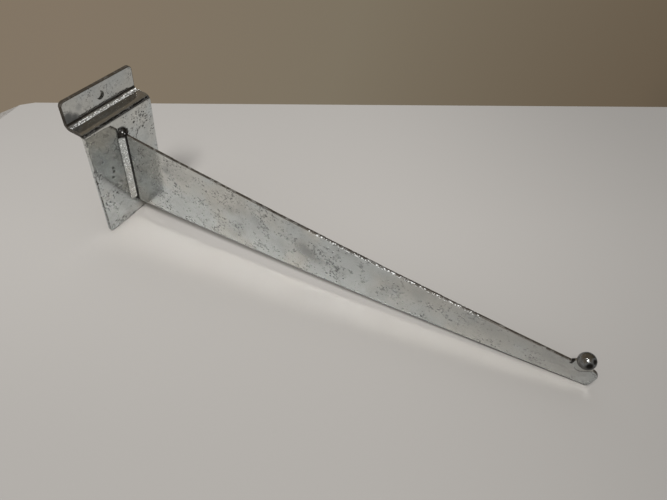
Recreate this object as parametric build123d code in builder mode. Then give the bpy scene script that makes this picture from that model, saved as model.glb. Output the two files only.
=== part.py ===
"""Slatwall shelf bracket: a folded hook plate, a tapered arm blade welded to it edge-on,
and a steel ball welded to the arm's tip as a shelf stop.

Frame, in millimetres: the origin is on the plate's back face, on its centre line and level
with the arm's top edge. The panel is the plane Y = 0, the arm reaches out along -Y,
+X is to the right for someone who faces the panel, and +Z is up.
"""

from build123d import *
import os
from math import radians, sqrt, tan

# ---------------------------------------------------------------- driving dimensions
# hook plate, one folded sheet
sheet = 2.4  # thickness of the folded sheet
plate_width = 56.0  # along X
plate_drop = 71.5  # from the shelf line down to the plate's bottom edge
web_rise = 13.7  # from the shelf line up to the top of the web
lip_height = 16.3  # from the top of the web to the top of the lip
slat_gap = 10.0  # clear space between the plate and the lip, for the slat's lip
bend_radius = 1.6  # inside radius of both folds
plate_corner = 3.0  # rounded corners of the sheet
edge_break = 0.35  # rounding of the sheet's cut edges

# half-sheared pip in the lip
pip_diameter = 5.8
pip_depth = 1.5
pip_draft = 12.0  # degrees
pip_rise = 8.2  # from the top of the web to the pip's centre

# arm blade
shelf_depth = 300.0  # clear length between the plate and the ball
blade = 2.0  # thickness
blade_break = 0.5  # rounding of the blade's edges
root_depth = 58.3  # height of the blade where it meets the plate
bottom_slope = 8.1  # degrees by which the bottom edge rises towards the tip
nose_reach = 10.4  # from the ball's centre to the end of the blade
nose_bottom_radius = 2.4
nose_top_radius = 5.0
bow = 2.0  # sideways bow of the blade at its middle, towards -X

# ball stop
ball_diameter = 9.5
ball_rise = 4.4  # from the arm's top edge to the ball's centre
notch_width = 12.0  # of the right-angled notch under the ball, along the top edge
notch_radius = 3.0  # at the bottom of the notch
ball_weld = 1.7  # thickness of the weld that fills the notch
ball_weld_rise = 2.2  # from the arm's top edge to the top of that weld

# weld between the blade and the plate
weld_on_plate = 3.6  # leg along the plate
weld_on_blade = 2.4  # leg along the blade
weld_hollow = 0.35  # how far the weld's face dips
weld_stop = 1.0  # from the blade's top and bottom corners up to the ends of the weld
cap_radius = 3.4  # the lump that closes the weld over the blade's top edge

# ---------------------------------------------------------------- sizes that follow
plate_front = -sheet
lip_top = web_rise + lip_height
ball_radius = ball_diameter / 2
ball_y = plate_front - shelf_depth - ball_radius
nose_y = ball_y - nose_reach
blade_length = plate_front - nose_y
notch_half = notch_width / 2

# The blade is bowed to an arc that passes through the plate and the ball at X = 0.
bow_span = plate_front - ball_y
bow_radius = (bow_span**2 / 4 + bow**2) / (2 * bow)
bow_centre = (bow_radius - bow, (plate_front + ball_y) / 2)


def bowed_slab(thickness):
    """A slab of this thickness along the bowed line of the blade, higher than the part."""
    slab_bottom = -root_depth - plate_drop
    slab_top = lip_top + plate_drop
    with BuildPart() as slab:
        with BuildSketch(Plane.XY.offset(slab_bottom)):
            with Locations(bow_centre):
                Circle(bow_radius + thickness / 2)
                Circle(bow_radius - thickness / 2, mode=Mode.SUBTRACT)
            with Locations((0, plate_front - blade_length / 2)):
                Rectangle(8 * bow + 4 * thickness, 2 * blade_length, mode=Mode.INTERSECT)
        extrude(amount=slab_top - slab_bottom)
    return slab.part


# ---------------------------------------------------------------- hook plate
with BuildPart() as hook_plate:
    middle = sheet / 2
    with BuildSketch(Plane.YZ):
        with BuildLine():
            FilletPolyline(
                (plate_front + middle, -plate_drop),
                (plate_front + middle, web_rise - middle),
                (slat_gap + middle, web_rise - middle),
                (slat_gap + middle, lip_top),
                radius=bend_radius + middle,
            )
        trace(line_width=sheet)
    extrude(amount=plate_width / 2, both=True)

    corners = hook_plate.edges().filter_by(Axis.Y).group_by(Axis.Z)
    fillet(corners[0] + corners[-1], radius=plate_corner)

    # the cut edge runs round each skin of the sheet; the lines where bends start stay
    skins = hook_plate.faces().filter_by(lambda face: face.area > plate_width * sheet * 1.01)
    full_width = hook_plate.edges().filter_by(Axis.X)
    bend_lines = full_width.filter_by(lambda edge: edge.length > plate_width - sheet)
    fillet(skins.edges() - bend_lines, radius=edge_break)

    # the pip is pressed in from the front and stands out behind
    with BuildSketch(Plane.XZ.offset(-slat_gap)):
        with Locations((0, web_rise + pip_rise)):
            Circle(pip_diameter / 2)
    extrude(amount=-pip_depth, taper=pip_draft, mode=Mode.SUBTRACT)
    with BuildSketch(Plane.XZ.offset(-slat_gap - sheet)):
        with Locations((0, web_rise + pip_rise)):
            Circle(pip_diameter / 2)
    extrude(amount=-pip_depth, taper=pip_draft)

# ---------------------------------------------------------------- arm blade
# the lump of weld, which has melted into the blade's top corner
with BuildPart() as weld_cap:
    with Locations((0, plate_front, 0)):
        Sphere(cap_radius)

# the notch that seats the ball, seen from the side
with BuildSketch(Plane.YZ) as notch:
    with BuildLine():
        FilletPolyline(
            (ball_y - notch_half, 0),
            (ball_y, -notch_half),
            (ball_y + notch_half, 0),
            radius=notch_radius,
        )
        Line((ball_y + notch_half, 0), (ball_y - notch_half, 0))
    make_face()

blade_slab = bowed_slab(blade)

with BuildPart() as arm_blade:
    rise = tan(radians(bottom_slope))
    with BuildSketch(Plane.YZ) as side_view:
        with BuildLine():
            Polyline(
                (0, 0),
                (nose_y, 0),
                (nose_y, blade_length * rise - root_depth),
                (0, plate_front * rise - root_depth),
                close=True,
            )
        make_face()
        # the bottom and then the top corner of the nose, in the sketch's own axes
        for corner, radius in ((0, nose_bottom_radius), (-1, nose_top_radius)):
            nose = side_view.vertices().group_by(Axis.X)[0].sort_by(Axis.Y)
            fillet(nose[corner], radius=radius)
    extrude(amount=plate_width, both=True)
    add(blade_slab, mode=Mode.INTERSECT)

    # its edges are rounded, then it is trimmed to the plate and the lump, and notched
    sides = arm_blade.faces().sort_by(SortBy.AREA)[-2:]
    rims = sides.edges().filter_by(lambda edge: edge.center().Y < plate_front)
    fillet(rims, radius=blade_break)
    split(bisect_by=Plane.XZ.offset(sheet), keep=Keep.TOP)
    add(weld_cap.part, mode=Mode.SUBTRACT)
    extrude(notch.sketch, amount=plate_width, both=True, mode=Mode.SUBTRACT)

# ---------------------------------------------------------------- ball stop
with BuildPart() as ball_stop:
    with Locations((0, ball_y, ball_rise)):
        Sphere(ball_radius)

# ---------------------------------------------------------------- ball weld
ball_weld_slab = bowed_slab(ball_weld)

with BuildPart() as ball_seat_weld:
    # the filled notch, and shoulders that climb from its corners to the ball
    shoulder = sqrt(ball_radius**2 - (ball_rise - ball_weld_rise) ** 2)
    with BuildSketch(Plane.YZ):
        add(notch.sketch_local)
        with BuildLine():
            Polyline(
                (ball_y - notch_half, 0),
                (ball_y - shoulder, ball_weld_rise),
                (ball_y + shoulder, ball_weld_rise),
                (ball_y + notch_half, 0),
                close=True,
            )
        make_face()
    extrude(amount=plate_width, both=True)
    add(ball_weld_slab, mode=Mode.INTERSECT)
    add(ball_stop.part, mode=Mode.SUBTRACT)

# ---------------------------------------------------------------- root weld
with BuildPart() as root_weld:
    # two fillet beads, one down each side of the blade, joined by the lump
    for side in (-1, 1):
        with BuildSketch(Plane.XY.offset(-root_depth)):
            with BuildLine():
                plate_toe = (side * (blade / 2 + weld_on_plate), plate_front)
                blade_toe = (side * blade / 2, plate_front - weld_on_blade)
                Polyline(plate_toe, (0, plate_front), (0, plate_front - weld_on_blade), blade_toe)
                SagittaArc(blade_toe, plate_toe, side * weld_hollow)
            make_face()
        extrude(amount=root_depth + weld_stop)
    # both ends of the beads run out at 45 degrees
    for end, way in ((-root_depth + weld_stop, 1), (weld_stop, -1)):
        run_out = Plane((0, plate_front, end), x_dir=(1, 0, 0), z_dir=(0, 1, way))
        split(bisect_by=run_out, keep=Keep.TOP)
    add(weld_cap.part)
    split(bisect_by=Plane.XZ.offset(sheet), keep=Keep.TOP)
    add(arm_blade.part, mode=Mode.SUBTRACT)

# ---------------------------------------------------------------- files
pieces = {
    "hook_plate": hook_plate,
    "arm_blade": arm_blade,
    "ball_stop": ball_stop,
    "ball_weld": ball_seat_weld,
    "root_weld": root_weld,
}

os.makedirs("parts", exist_ok=True)
for name, piece in pieces.items():
    piece.part.label = name
    export_step(piece.part, f"parts/{name}.step")
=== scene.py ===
import math

import bpy
from mathutils import Euler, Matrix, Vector


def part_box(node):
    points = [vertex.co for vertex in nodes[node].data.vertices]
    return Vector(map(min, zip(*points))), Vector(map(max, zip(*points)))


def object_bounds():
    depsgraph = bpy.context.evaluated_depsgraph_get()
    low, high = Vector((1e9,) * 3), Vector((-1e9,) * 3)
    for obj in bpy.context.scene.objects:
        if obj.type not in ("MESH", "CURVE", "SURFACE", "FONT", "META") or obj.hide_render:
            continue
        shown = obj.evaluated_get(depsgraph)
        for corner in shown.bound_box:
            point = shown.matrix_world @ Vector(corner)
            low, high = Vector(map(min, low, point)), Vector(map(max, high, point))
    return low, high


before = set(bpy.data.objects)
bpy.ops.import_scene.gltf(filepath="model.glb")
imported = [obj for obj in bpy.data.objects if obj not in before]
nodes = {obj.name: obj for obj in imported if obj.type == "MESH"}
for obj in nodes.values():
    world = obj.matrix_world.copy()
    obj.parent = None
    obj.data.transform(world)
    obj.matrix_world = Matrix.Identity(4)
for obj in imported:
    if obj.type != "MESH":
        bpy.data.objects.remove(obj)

cad_low, cad_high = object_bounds()

# ---------------------------------------------------------------- sizes, in metres
plate_low, plate_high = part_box("hook_plate")
arm_low, arm_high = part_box("arm_blade")
ball_low, ball_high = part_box("ball_stop")
ball_middle = (ball_low + ball_high) / 2
ball_radius = (ball_high.z - ball_low.z) / 2
weld_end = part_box("root_weld")[0].y  # how far out along the arm the root weld reaches
seat_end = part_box("ball_weld")[1].y  # how near to the plate the ball's weld reaches

plate_front = arm_high.y
shelf_line = arm_high.z
root_bottom = arm_low.z
arm_length = arm_high.y - arm_low.y
bottom_slope = math.tan(math.radians(8.1))  # of the blade's bottom edge, up towards the tip

sheet = -plate_front  # thickness, as the plate's back face is at Y = 0
sheet_corner = 0.003  # radius of the sheet's rounded corners
lip_height = 0.0163  # above the web
pip_depth = 0.0015  # by which the pip stands out behind the lip
pip_radius = 0.0029
bend_radius = 0.0016  # inside the folds
web_top = plate_high.z - lip_height
lip_front = plate_high.y - pip_depth - sheet


# ---------------------------------------------------------------- helpers
def shade(name):
    """A new node material, its tree and its Principled shader."""
    material = bpy.data.materials.new(name)
    material.use_nodes = True
    return material, material.node_tree, material.node_tree.nodes["Principled BSDF"]


def put(tree, socket, value):
    """Sets a socket to a value, or links it to another socket."""
    if isinstance(value, bpy.types.NodeSocket):
        tree.links.new(value, socket)
    else:
        socket.default_value = value


def maths(tree, operation, *values, clamp=False):
    made = tree.nodes.new("ShaderNodeMath")
    made.operation = operation
    made.use_clamp = clamp
    for socket, value in zip(made.inputs, values):
        put(tree, socket, value)
    return made.outputs[0]


def vector_maths(tree, operation, *values, output="Vector"):
    made = tree.nodes.new("ShaderNodeVectorMath")
    made.operation = operation
    for socket, value in zip(made.inputs, values):
        put(tree, socket, value)
    return made.outputs[output]


def axes(tree, vector):
    """The parts of a vector, by the names X, Y and Z."""
    made = tree.nodes.new("ShaderNodeSeparateXYZ")
    put(tree, made.inputs[0], vector)
    return made.outputs


def normal_axes(tree):
    return axes(tree, tree.nodes.new("ShaderNodeNewGeometry").outputs["Normal"])


def span(tree, value, low, high, to_low=0.0, to_high=1.0):
    """Maps low..high smoothly onto to_low..to_high."""
    made = tree.nodes.new("ShaderNodeMapRange")
    made.interpolation_type = "SMOOTHSTEP"
    for socket, number in zip(made.inputs, (value, low, high, to_low, to_high)):
        put(tree, socket, number)
    return made.outputs[0]


def slab(tree, value, low, high, soft):
    """1 where value lies between low and high, with soft ends."""
    above = span(tree, value, low - soft, low + soft)
    below = span(tree, value, high - soft, high + soft, 1.0, 0.0)
    return maths(tree, "MULTIPLY", above, below)


def most(tree, *masks):
    top = masks[0]
    for mask in masks[1:]:
        top = maths(tree, "MAXIMUM", top, mask)
    return top


def times(tree, *masks):
    product = masks[0]
    for mask in masks[1:]:
        product = maths(tree, "MULTIPLY", product, mask)
    return product


def noise(tree, place, scale, detail=2.0, roughness=0.5, distortion=0.0, output="Fac"):
    made = tree.nodes.new("ShaderNodeTexNoise")
    put(tree, made.inputs["Vector"], place)
    made.inputs["Scale"].default_value = scale
    made.inputs["Detail"].default_value = detail
    made.inputs["Roughness"].default_value = roughness
    made.inputs["Distortion"].default_value = distortion
    return made.outputs[output]


def cells(tree, place, scale, feature="F1"):
    made = tree.nodes.new("ShaderNodeTexVoronoi")
    made.feature = feature
    put(tree, made.inputs["Vector"], place)
    made.inputs["Scale"].default_value = scale
    return made.outputs["Distance"]


def blend(tree, factor, one, two):
    """Mixes two colours."""
    made = tree.nodes.new("ShaderNodeMix")
    made.data_type = "RGBA"
    put(tree, made.inputs["Factor"], factor)
    for socket, colour in ((made.inputs["A"], one), (made.inputs["B"], two)):
        if isinstance(colour, bpy.types.NodeSocket):
            tree.links.new(colour, socket)
        else:
            socket.default_value = (*colour, 1.0)
    return made.outputs["Result"]


def blend_masks(tree, factor, one, two):
    made = tree.nodes.new("ShaderNodeMix")
    put(tree, made.inputs["Factor"], factor)
    put(tree, made.inputs["A"], one)
    put(tree, made.inputs["B"], two)
    return made.outputs["Result"]


def blend_shaders(tree, factor, one, two):
    made = tree.nodes.new("ShaderNodeMixShader")
    for socket, value in zip(made.inputs, (factor, one, two)):
        put(tree, socket, value)
    return made.outputs[0]


def along_line(tree, place, direction, start):
    """How far a place lies along a direction, in metres from the start."""
    reach = vector_maths(tree, "DOT_PRODUCT", place, direction, output="Value")
    return maths(tree, "SUBTRACT", reach, start.dot(direction))


# ---------------------------------------------------------------- plated steel
sheet_metal = (0.510, 0.518, 0.512)
blade_metal = (0.530, 0.538, 0.530)
ball_metal = (0.300, 0.306, 0.312)
seat_metal = (0.420, 0.424, 0.412)
weld_metal = (0.545, 0.550, 0.538)
# the white of the painted glints, which stand for light glinting on folds, corners and beads
glint_white = (0.90, 0.92, 0.92)
# the dark of the edges: grimy cut edges, and painted shade in the sheet's inner fold and on its web
grime_and_shade = (0.044, 0.036, 0.027)
# the black of pits, cracks and spots, of painted shade in the sheet's folds and round its pip, and of
# painted reflections
black = (0.006, 0.005, 0.004)
warm = (1.03, 1.00, 0.955)
cool = (0.975, 1.00, 1.01)
fleck_tone = 1.17  # how bright the metal is in its flecks
dull_tone = 0.60  # and in its dull parts

# how fine the patterns are, in repeats per metre
grain_scale = 1800
grit_scale = 950
dash_scale = 750
mottle_scale = 520
pit_scale = 420
swirl_scale = 320
broken_edge_scale = 260
crack_scale = 190
patch_scale = 75
cloud_scale = 45
tint_scale = 28

swirl_reach = 0.006  # by which the cracks are bent
bump_height = 0.0003


def round_mark(tree, place, blur, centre, radius, strength):
    """A mark whose rim the blur makes ragged."""
    away = vector_maths(tree, "DISTANCE", place, centre, output="Value")
    ragged = maths(tree, "MULTIPLY_ADD", blur, radius, away)
    return span(tree, ragged, radius * 0.9, radius * 1.8, strength, 0.0)


def allowed_marks(tree, place, blur, allowed, marks):
    """Round marks, kept to where the mask allowed is 1."""
    return [times(tree, round_mark(tree, place, blur, *mark), allowed) for mark in marks]


def pits_and_cracks(tree, here, mottle, patch, strength):
    """Clusters of pits, with short dark cracks that wander between them."""
    cluster = span(tree, patch, 0.44, 0.58)
    pit = times(tree, span(tree, cells(tree, here, pit_scale), 0.15, 0.32, strength, 0.0), cluster)
    swirl = noise(tree, here, swirl_scale, 3.0, output="Color")
    bent = vector_maths(tree, "MULTIPLY_ADD", swirl, (swirl_reach,) * 3, here)
    crack = times(
        tree,
        span(tree, cells(tree, bent, crack_scale, "DISTANCE_TO_EDGE"), 0.0, 0.08, strength, 0.0),
        span(tree, patch, 0.47, 0.60),
        span(tree, mottle, 0.44, 0.54),
    )
    return most(tree, pit, crack)


def toned(metal, tone):
    return [channel * tone for channel in metal]


def mottled(tree, here, mottle, patch, metal):
    """The clean metal's colour: mottled, flecked, and here warmer and there cooler."""
    colour = blend(tree, span(tree, mottle, 0.45, 0.75, 0.0, 0.55), metal, toned(metal, dull_tone))
    fleck = times(
        tree,
        span(tree, mottle, 0.46, 0.30, 0.0, 0.8),
        span(tree, patch, 0.40, 0.60, 0.3, 1.0),
    )
    colour = blend(tree, fleck, colour, toned(metal, fleck_tone))
    tint = blend(tree, span(tree, noise(tree, here, tint_scale), 0.40, 0.60), warm, cool)
    return vector_maths(tree, "MULTIPLY", colour, tint)


def skin(tree, place, grain, mottle, stain, relief, lean):
    """The normal of a bumpy skin with sunken stains, tipped by the lean if there is one."""
    height = maths(tree, "MULTIPLY_ADD", grain, 0.3, mottle)
    height = maths(tree, "SUBTRACT", height, times(tree, stain, 2.0))
    bump = tree.nodes.new("ShaderNodeBump")
    bump.inputs["Strength"].default_value = relief
    bump.inputs["Distance"].default_value = bump_height
    put(tree, bump.inputs["Height"], height)
    if lean is None:
        return bump.outputs["Normal"]
    tip = tree.nodes.new("ShaderNodeBump")
    tip.inputs["Distance"].default_value = 1.0
    put(tree, tip.inputs["Height"], lean(tree, place))
    put(tree, tip.inputs["Normal"], bump.outputs["Normal"])
    return tip.outputs["Normal"]


def nowhere(tree, place):
    return 0.0


def everywhere(tree):
    return 1.0


def plated(
    name, metal, zones, shift, roughness, haze, pits=1.0, smudges=(), spots=(),
    marked=everywhere, fade=nowhere, lean=None, rim=1.0, relief=0.12, glint_whiteness=0.9,
):
    """Worn bright plating: mottled, with clouds, pits, fine cracks and marks.

    zones gives, from the tree and the place, three masks: the first is 1 on the dark edges, which are
    partly dirty and partly painted shade; the second is 1 on the black lines, which in the sheet's
    folds and round its pip are painted shade; the third is 1 where painted glints are scattered,
    white dots that stand for glints of light on folds, corners and beads. shift moves the patterns,
    so that no two pieces have the same ones. haze is the share of the metal that has gone milky, and
    pits is how dark the pits and cracks are. smudges and spots are round marks, dull and black, some
    of them painted reflections: a place, a radius in metres and a strength. marked gives a mask that
    is 1 where they may lie. fade gives a mask that is 1 where the metal is duller and has fewer
    stains. lean gives a height in metres that tips a flat face a little, as its reflections show. rim
    is the brightness of glancing reflections, relief is the strength of the bumps, and chalk is how
    white the painted glints are, where 0 leaves them bare metal.
    """
    material, tree, bsdf = shade(name)
    place = tree.nodes.new("ShaderNodeTexCoord").outputs["Object"]
    here = vector_maths(tree, "ADD", place, shift)

    # the patterns that the layers below share
    grain = noise(tree, here, grain_scale, 2.0, 0.6)
    grit = noise(tree, here, grit_scale, 1.0)
    mottle = noise(tree, here, mottle_scale, 3.0, 0.65)
    patch = noise(tree, here, patch_scale, 4.0, 0.62, 0.5)
    cloud = noise(tree, here, cloud_scale, 4.0, 0.6, 0.4)

    # thin clouds, smudges and painted reflections; wear on the edges, and painted shade; and painted
    # glints
    edges, creases_and_shade, folds = zones(tree, place)
    allowed = marked(tree)
    clouds = span(tree, cloud, 0.44, 0.70, 0.0, 0.4)
    dirt_and_reflections = most(tree, clouds, *allowed_marks(tree, place, patch, allowed, smudges))
    worn_and_shaded = times(tree, edges, span(tree, mottle, 0.45, 0.70, 1.0, 0.85))
    painted_glints = span(tree, maths(tree, "ADD", folds, grit), 1.51, 1.58)
    elsewhere = span(tree, painted_glints, 0.0, 1.0, 1.0, 0.0)

    # the black: pits and cracks, spots with some painted reflections among them, and ragged lines,
    # which in the sheet's folds and round its pip are painted shade
    faded = fade(tree, place)
    stain = pits_and_cracks(tree, here, mottle, patch, pits)
    stain = times(tree, stain, span(tree, faded, 0.0, 1.0, 1.0, 0.35))
    ragged = span(tree, maths(tree, "MULTIPLY_ADD", mottle, 0.9, creases_and_shade), 0.85, 1.20)
    black_spots_and_reflections = allowed_marks(tree, place, patch, allowed, spots)
    soot_and_shade = most(tree, times(tree, stain, 0.85), *black_spots_and_reflections, ragged)
    soot_and_shade = times(tree, soot_and_shade, elsewhere)
    covered = most(tree, soot_and_shade, times(tree, worn_and_shaded, elsewhere))

    colour = mottled(tree, here, mottle, patch, metal)
    dulled = times(tree, faded, 0.55)
    dull = toned(metal, dull_tone)
    # over the metal go: thin clouds and smudges with painted reflections, the duller parts with the
    # web's painted reflection, the dark edges with painted shade, the painted glints, and the black
    # with painted shade and painted reflections
    layers = ((dirt_and_reflections, dull), (dulled, dull), (worn_and_shaded, grime_and_shade), (painted_glints, glint_white), (soot_and_shade, black))
    for mask, layer in layers:
        colour = blend(tree, mask, colour, layer)
    put(tree, bsdf.inputs["Base Color"], colour)

    rough = span(tree, grain, 0.3, 0.7, roughness * 0.7, roughness * 1.4)
    for mask, rougher in ((dirt_and_reflections, 0.22), (painted_glints, glint_whiteness * 0.25), (covered, 0.35)):
        rough = maths(tree, "MULTIPLY_ADD", mask, rougher, rough, clamp=True)
    put(tree, bsdf.inputs["Roughness"], rough)

    milky = span(tree, mottle, 0.65, 0.35, haze * 0.5, haze * 1.5)
    lost = most(tree, milky, times(tree, painted_glints, glint_whiteness), times(tree, covered, 0.95))
    put(tree, bsdf.inputs["Metallic"], maths(tree, "SUBTRACT", 1.0, lost))
    bsdf.inputs["Specular Tint"].default_value = (rim, rim, rim, 1.0)
    bsdf.inputs["Specular IOR Level"].default_value = 0.25

    put(tree, bsdf.inputs["Normal"], skin(tree, place, grain, mottle, stain, relief, lean))
    return material


def dress(node, look):
    for slot in nodes[node].material_slots:
        slot.material = look


# ---------------------------------------------------------------- hook plate
def on_plate(x, z):
    """A place on the plate's front, across from its centre line and up from the shelf line."""
    return (x, plate_front, shelf_line + z)


def on_lip(x, up):
    """A place on the lip's front, across from its centre line and up from the web."""
    return (x, lip_front, web_top + up)


lip_lean = 0.19  # as a slope
dashes_thin_out = (-0.022, -0.012)  # the heights between which they do, up the plate's sides

# The marks that stand out, here and on the blade, are listed one by one, and noise makes the finer
# ones between them. Those on the lip are the dark patch in its lower left corner, a painted
# reflection, with one smudge beside it, and the widest one on the plate is the soot round the lump of
# weld.
plate_smudges_and_reflections = (
    # painted reflection: the dark patch in the lip's lower left corner, in three parts; then a smudge
    (on_lip(-0.0260, 0.0070), 0.0030, 0.9),
    (on_lip(-0.0260, 0.0045), 0.0050, 1.0),
    (on_lip(-0.0220, 0.0025), 0.0040, 1.0),
    (on_lip(-0.0165, 0.0085), 0.0025, 0.6),
)
plate_spots_and_reflections = (
    # painted reflection: the lip's dark patch again, in two parts; then the burn round the lump of
    # weld, and small black spots
    (on_lip(-0.0260, 0.005), 0.0050, 0.45),
    (on_lip(-0.0220, 0.003), 0.0040, 0.4),
    (on_plate(0.0, 0.001), 0.0034, 0.9),
    (on_plate(-0.0205, -0.012), 0.001, 0.7),
    (on_plate(-0.0135, -0.021), 0.001, 0.9),
    (on_plate(-0.0135, -0.024), 0.001, 0.9),
    (on_plate(-0.0150, -0.028), 0.001, 0.9),
    (on_plate(-0.0150, -0.042), 0.001, 0.8),
    (on_plate(0.0105, 0.002), 0.001, 0.9),
    (on_plate(0.0175, -0.005), 0.001, 0.8),
)


def sheet_outline(tree, place, along, aside):
    """The sheet's dirty cut edge, all round it but fainter on the plate's sides."""
    # how far out a place lies, from the centres of the rounded corners
    beyond_top = maths(tree, "SUBTRACT", along["Z"], plate_high.z - sheet_corner)
    beyond_bottom = maths(tree, "SUBTRACT", plate_low.z + sheet_corner, along["Z"])
    beyond_side = maths(tree, "SUBTRACT", aside, plate_high.x - sheet_corner)
    beyond_side = most(tree, beyond_side, 0.0)
    beyond_end = most(tree, beyond_top, beyond_bottom, 0.0)
    squares = (maths(tree, "POWER", beyond, 2.0) for beyond in (beyond_side, beyond_end))
    out = maths(tree, "SQRT", maths(tree, "ADD", *squares))
    outline = span(tree, out, sheet_corner - 0.0006, sheet_corner - 0.0003)

    # the plate's sides are dirty only along their front corners, in dashes that thin out
    # towards the top and are fainter on the right
    dashes = times(
        tree,
        span(tree, noise(tree, place, dash_scale, 1.0), 0.42, 0.52, 0.25, 1.0),
        span(tree, along["Y"], -0.0016, -0.0010, 1.0, 0.0),
        span(tree, along["Z"], *dashes_thin_out, 1.0, 0.12),
        span(tree, along["X"], -0.01, 0.01, 1.0, 0.55),
    )
    below_fold = span(tree, along["Z"], web_top - 0.0030, web_top - 0.0020, 1.0, 0.0)
    at_side = times(tree, below_fold, span(tree, beyond_side, 0.0, 0.0005))
    return blend_masks(tree, at_side, outline, times(tree, outline, dashes))


def sheet_zones(tree, place):
    """Dirty cut edges, black lines of painted shade in both folds and round the pip, and painted
    glints on a band of painted shade by the lip.
    """
    along = axes(tree, place)
    aside = maths(tree, "ABSOLUTE", along["X"])
    outline = sheet_outline(tree, place, along, aside)

    # painted shade in the inner fold, low on the lip's front
    inner_fold = times(
        tree,
        slab(tree, along["Z"], web_top + 0.0004, web_top + 0.0021, 0.0003),
        span(tree, along["Y"], lip_front - 0.0010, lip_front - 0.0006),
        span(tree, along["Y"], lip_front + 0.0003, lip_front + 0.0006, 1.0, 0.0),
    )
    # painted shade in the outer fold, high on the plate's front
    outer_fold = times(
        tree,
        slab(tree, along["Z"], web_top - 0.0020, web_top - 0.0006, 0.0004),
        span(tree, along["Y"], 0.0, 0.001, 1.0, 0.0),
    )
    # painted shade on the wall round the pip
    pip_wall = times(
        tree,
        slab(tree, along["Y"], lip_front + 0.0003, lip_front + 0.0013, 0.0001),
        span(tree, aside, pip_radius - 0.0001, pip_radius + 0.0003, 1.0, 0.0),
    )
    lines = ((outer_fold, 0.72), (pip_wall, 0.48), (inner_fold, 0.58))
    creases_and_shade = most(tree, *(times(tree, mask, strength) for mask, strength in lines))

    # painted glints scattered over a band of painted shade, on top of the web, in front of the lip
    glint_band = times(
        tree,
        slab(tree, along["Y"], lip_front - 0.0035, lip_front - 0.0006, 0.0004),
        span(tree, along["Z"], web_top - 0.0006, web_top - 0.0002),
        span(tree, along["Z"], web_top + 0.0005, web_top + 0.0009, 1.0, 0.0),
    )
    return most(tree, outline, inner_fold, times(tree, glint_band, 0.6)), creases_and_shade, glint_band


def sheet_fade(tree, place):
    """The lip is duller and has fewer stains than the plate. The web has fewer stains still and is
    darker still, a painted reflection of the dark wall.
    """
    along = axes(tree, place)
    lip = span(tree, along["Y"], lip_front - 0.0010, lip_front - 0.0004, 0.0, 0.6)
    web = slab(tree, along["Z"], web_top - 0.0020, web_top + 0.0004, 0.0005)
    return most(tree, lip, times(tree, web, span(tree, lip, 0.0, 0.3, 1.0, 0.0)))


def sheet_lean(tree, place):
    """The lip leans back from the vertical, above its fold."""
    up_lip = maths(tree, "SUBTRACT", axes(tree, place)["Z"], web_top + bend_radius)
    return times(tree, most(tree, up_lip, 0.0), -lip_lean)


dress("hook_plate", plated(
    "plated_sheet", sheet_metal, sheet_zones, shift=(0.0, 0.0, 0.0), roughness=0.07, haze=0.05,
    smudges=plate_smudges_and_reflections, spots=plate_spots_and_reflections, fade=sheet_fade, lean=sheet_lean,
))


# ---------------------------------------------------------------- arm blade
def on_blade(share, down):
    """A place on the blade's -X side: share of its length from the plate, metres down."""
    return (arm_low.x + 0.0015, plate_front - share * arm_length, shelf_line - down)


blade_smudges = (
    (on_blade(0.11, 0.012), 0.0040, 0.6),
    (on_blade(0.27, 0.017), 0.0045, 0.5),
    (on_blade(0.44, 0.018), 0.0065, 0.85),
    (on_blade(0.46, 0.020), 0.0065, 0.8),
    (on_blade(0.48, 0.021), 0.0045, 0.6),
    (on_blade(0.62, 0.016), 0.0040, 0.4),
)
blade_spots = (
    (on_blade(0.04, 0.008), 0.001, 0.9),
    (on_blade(0.05, 0.010), 0.001, 0.8),
    (on_blade(0.22, 0.031), 0.001, 0.7),
    (on_blade(0.24, 0.017), 0.001, 0.8),
    (on_blade(0.29, 0.037), 0.001, 0.9),
    (on_blade(0.30, 0.021), 0.001, 0.7),
    (on_blade(0.34, 0.032), 0.001, 0.9),
    (on_blade(0.44, 0.009), 0.001, 0.9),
    (on_blade(0.45, 0.019), 0.0055, 0.12),
    (on_blade(0.51, 0.019), 0.001, 0.9),
    (on_blade(0.95, 0.001), 0.001, 1.0),
    (on_blade(0.99, 0.002), 0.001, 0.9),
)

# stretches along Y
glint_stretch = (-0.262, -0.130)  # where painted glints lie along the top corner
strip_fades = (-0.28, -0.20)  # where the dark strip along the bottom grows fainter
blade_fades = (-0.335, -0.135)  # where the metal goes from dull to bright


def near_side(tree):
    """The blade's -X side, where its marks are."""
    return span(tree, normal_axes(tree)["X"], -0.1, 0.1, 1.0, 0.0)


def blade_fade(tree, place):
    """The outer half of the blade is duller and has fewer stains."""
    return span(tree, axes(tree, place)["Y"], *blade_fades, 1.0, 0.0)


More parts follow.
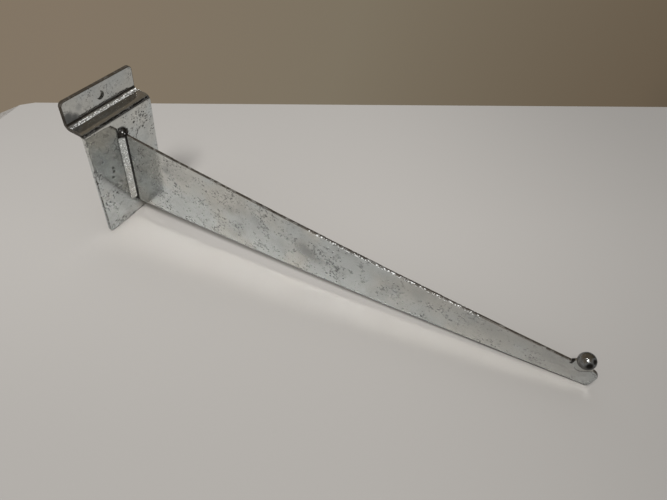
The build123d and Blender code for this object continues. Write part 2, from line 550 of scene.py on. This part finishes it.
def blade_zones(tree, place):
    """Dark top and bottom edges, a black crease beside the root weld, painted glints along the top
    corner.
    """
    along = axes(tree, place)
    # the cut edge is where the skin turns away from the blade's two sides
    turned = maths(tree, "ABSOLUTE", normal_axes(tree)["X"])
    cut_edge = span(tree, turned, 0.55, 0.90, 1.0, 0.0)
    broken = span(tree, noise(tree, place, broken_edge_scale, 3.0), 0.36, 0.46, 0.6, 1.0)
    # a thin strip along the bottom edge, fainter towards the plate
    bottom = maths(tree, "MULTIPLY_ADD", along["Y"], -bottom_slope, root_bottom)
    over = maths(tree, "SUBTRACT", along["Z"], bottom)
    strip = times(
        tree,
        span(tree, over, 0.0003, 0.0008, 1.0, 0.0),
        span(tree, along["Y"], *strip_fades, 0.95, 0.40),
    )
    edges = most(tree, times(tree, cut_edge, broken), strip)

    crease = slab(tree, along["Y"], weld_end - 0.0014, plate_front, 0.0006)
    upper = span(tree, along["Z"], shelf_line - 0.045, shelf_line - 0.020, 0.85, 1.0)

    # painted glints: white dots along the rounded top corner that stand for the lamp's glints on it
    corner = times(
        tree,
        span(tree, along["Z"], shelf_line - 0.0015, shelf_line - 0.0011),
        span(tree, turned, 0.20, 0.40),
    )
    glint_band = times(tree, 0.97, corner, slab(tree, along["Y"], *glint_stretch, 0.018))
    return edges, times(tree, crease, upper), glint_band


dress("arm_blade", plated(
    "plated_blade", blade_metal, blade_zones, shift=(0.31, 0.17, 0.05), roughness=0.09, haze=0.08,
    smudges=blade_smudges, spots=blade_spots, marked=near_side, fade=blade_fade, glint_whiteness=0.95,
))


# ---------------------------------------------------------------- ball stop
def on_ball(x, y, z):
    """The place on the ball's skin in this direction from its centre."""
    return ball_middle + Vector((x, y, z)).normalized() * ball_radius


# painted reflections: black patches where the polished ball mirrors dark things
ball_reflections = (
    (on_ball(-0.9, -0.2, 0.4), 0.0026, 1.0),
    (on_ball(-0.3, -0.5, 0.8), 0.0022, 1.0),
    (on_ball(0.0, -0.7, 0.7), 0.0015, 1.0),
)


def ball_zones(tree, place):
    """Dark on the ball's lower half, thinning out above its middle."""
    height = axes(tree, place)["Z"]
    under = span(tree, height, ball_middle.z - 0.0005, ball_middle.z + 0.0032, 1.0, 0.0)
    return times(tree, under, 0.8), 0.0, 0.0


dress("ball_stop", plated(
    "plated_ball", ball_metal, ball_zones, shift=(0.1, 0.5, 0.2), roughness=0.06, haze=0.0,
    spots=ball_reflections, rim=0.3, relief=0.35,
))


# ---------------------------------------------------------------- welds
def seat_zones(tree, place):
    """A black crease at the end of the weld under the ball, where it meets the blade's notch."""
    near = slab(tree, axes(tree, place)["Y"], seat_end - 0.0014, seat_end, 0.0004)
    return 0.0, times(tree, near, 0.9), 0.0


dress("ball_weld", plated(
    "ball_weld_metal", seat_metal, seat_zones, shift=(0.7, 0.1, 0.2), roughness=0.12, haze=0.08,
))

# painted highlights on the lump of weld
lump_highlights = (
    ((-0.0018, plate_front - 0.0020, shelf_line + 0.0020), 0.0003, 2.0),
    ((-0.0011, plate_front - 0.0030, shelf_line + 0.0010), 0.0002, 2.0),
)


def weld_zones(tree, place):
    """Beads with painted glints, and a burnt, black lump at their top with two painted highlights."""
    lump = span(tree, axes(tree, place)["Z"], shelf_line - 0.0035, shelf_line - 0.0020)
    beads = maths(tree, "MULTIPLY_ADD", lump, -0.92, 0.92)
    points = (round_mark(tree, place, 0.0, *mark) for mark in lump_highlights)
    return times(tree, lump, 0.95), times(tree, lump, 0.70), most(tree, beads, *points)


dress("root_weld", plated(
    "root_weld_metal", weld_metal, weld_zones, shift=(0.2, 0.6, 0.4), roughness=0.22, haze=0.3,
    pits=0.25,
))


# ---------------------------------------------------------------- camera
camera_place = (-0.1779, -0.2135, 0.2093)
camera_turn = (39.56, -9.05, -62.32)  # degrees
camera_lens = 25.93  # millimetres

camera = bpy.data.objects.new("camera", bpy.data.cameras.new("camera"))
bpy.context.scene.collection.objects.link(camera)
camera.location = camera_place
camera.rotation_euler = Euler(map(math.radians, camera_turn))
camera.data.lens = camera_lens
camera.data.clip_start = 0.01
bpy.context.scene.camera = camera
bpy.context.view_layer.update()

# ---------------------------------------------------------------- table
table_colour = (0.455, 0.438, 0.418)
mirrored_table = (0.585, 0.575, 0.555)  # the table as the metal's reflections show it
table_reach = 3.0  # to the sides and behind the camera
corner_middle = (-0.296, 0.4185)  # of the far left corner, which is round
corner_radius = 0.022

# The bracket lies on a table on its plate's bottom edge and its arm's tip, so in the
# bracket's own frame the table is tilted: the steepest plane under both of them.
foot = Vector((0.0, plate_front, plate_low.z))
rise = min(
    (v.co.z - foot.z) / (foot.y - v.co.y)
    for v in nodes["arm_blade"].data.vertices
    if v.co.y < plate_front - arm_length / 2
)
up = Vector((0.0, rise, 1.0)).normalized()
ahead = camera.matrix_world.to_3x3() @ Vector((0.0, 0.0, -1.0))
ahead = (ahead - up * ahead.dot(up)).normalized()
right = ahead.cross(up)
under_camera = camera.location - up * (camera.location - foot).dot(up)


def on_table(across, along):
    """A place on the table, from the point under the camera: to the right, and ahead."""
    return under_camera + right * across + ahead * along


def on_round_corner(degrees):
    across, along = corner_middle
    angle = math.radians(degrees)
    return on_table(across + corner_radius * math.cos(angle), along + corner_radius * math.sin(angle))


# The near corners are out of sight. The far edge shows, and so do its round left corner and
# the left side beyond it.
table = bpy.data.meshes.new("table")
outline = [
    on_table(-table_reach, -table_reach),
    on_table(table_reach, -table_reach),
    on_table(table_reach, 0.362),
    on_table(0.318, 0.425),
    *map(on_round_corner, (90, 127, 165)),
    on_table(-0.335, 0.370),
    on_table(-1.2, -table_reach),
]
table.from_pydata(outline, [], [list(range(len(outline)))])
table_top = bpy.data.objects.new("table_top", table)
bpy.context.scene.collection.objects.link(table_top)

material, tree, bsdf = shade("table_top")
tree.nodes.remove(bsdf)
cover = tree.nodes.new("ShaderNodeBsdfDiffuse")
clear = tree.nodes.new("ShaderNodeBsdfTransparent")
mirrored = tree.nodes.new("ShaderNodeLightPath").outputs["Is Glossy Ray"]
# painted light: the table is brighter in reflections and at its far side, and darker on the right
place = tree.nodes.new("ShaderNodeTexCoord").outputs["Object"]
far = span(tree, along_line(tree, place, ahead, under_camera), 0.05, 0.27, 0.90, 1.14)
aside = span(tree, along_line(tree, place, right, under_camera), 0.0, 0.32, 1.0, 0.78)
plain = blend(tree, mirrored, table_colour, mirrored_table)
put(tree, cover.inputs["Color"], vector_maths(tree, "MULTIPLY", plain, times(tree, far, aside)))
# seen from underneath, the table top is not there, so that it hides nothing
underneath = tree.nodes.new("ShaderNodeNewGeometry").outputs["Backfacing"]
surface = blend_shaders(tree, underneath, cover.outputs[0], clear.outputs[0])
put(tree, tree.nodes["Material Output"].inputs["Surface"], surface)
table.materials.append(material)

# ---------------------------------------------------------------- light
# The room seen and mirrored is taupe, and darker towards the right; its light on the
# bracket is plain and even. One soft round lamp hangs over the bracket, a little to its left.
ambient_light = (0.43, 0.425, 0.42)
# the room's colours, from its left to its right
room_colours = (
    (0.33, (0.225, 0.180, 0.130)),
    (0.58, (0.200, 0.168, 0.120)),
    (0.83, (0.135, 0.104, 0.070)),
    (0.97, (0.025, 0.022, 0.018)),
)
towards_lamp = Vector((-0.424, 0.235, 0.875))
lamp_distance = 1.1
lamp_size = 0.32
lamp_power = 8.05  # watts
lamp_colour = (1.0, 0.99, 0.97)

world = bpy.data.worlds.new("room")
bpy.context.scene.world = world
world.use_nodes = True
tree = world.node_tree
ambient = tree.nodes["Background"]
ambient.inputs["Color"].default_value = (*ambient_light, 1.0)
walls = tree.nodes.new("ShaderNodeBackground")
ramp = tree.nodes.new("ShaderNodeValToRGB")
for share, colour in room_colours:
    stop = ramp.color_ramp.elements.new(share)
    stop.color = (*colour, 1.0)
# the two stops that every new ramp has are taken out
for end in (0, -1):
    ramp.color_ramp.elements.remove(ramp.color_ramp.elements[end])
sky = tree.nodes.new("ShaderNodeTexCoord").outputs["Generated"]
across = vector_maths(tree, "DOT_PRODUCT", sky, right - up * 0.35, output="Value")
put(tree, ramp.inputs[0], maths(tree, "MULTIPLY_ADD", across, 0.5, 0.5))
put(tree, walls.inputs["Color"], ramp.outputs["Color"])
path = tree.nodes.new("ShaderNodeLightPath")
seen = most(tree, path.outputs["Is Camera Ray"], path.outputs["Is Glossy Ray"])
surface = blend_shaders(tree, seen, ambient.outputs[0], walls.outputs[0])
put(tree, tree.nodes["World Output"].inputs["Surface"], surface)

lamp = bpy.data.objects.new("lamp", bpy.data.lights.new("lamp", "AREA"))
bpy.context.scene.collection.objects.link(lamp)
lamp.location = ball_middle + towards_lamp * lamp_distance
lamp.rotation_euler = (lamp.location - (cad_low + cad_high) / 2).to_track_quat("Z", "Y").to_euler()
lamp.data.shape = "DISK"
lamp.data.size = lamp_size
lamp.data.energy = lamp_power
lamp.data.color = lamp_colour

bpy.context.scene.view_settings.view_transform = "Standard"
# the light that the blade throws onto the table stays as sharp as the blade makes it
bpy.context.scene.cycles.blur_glossy = 0.0
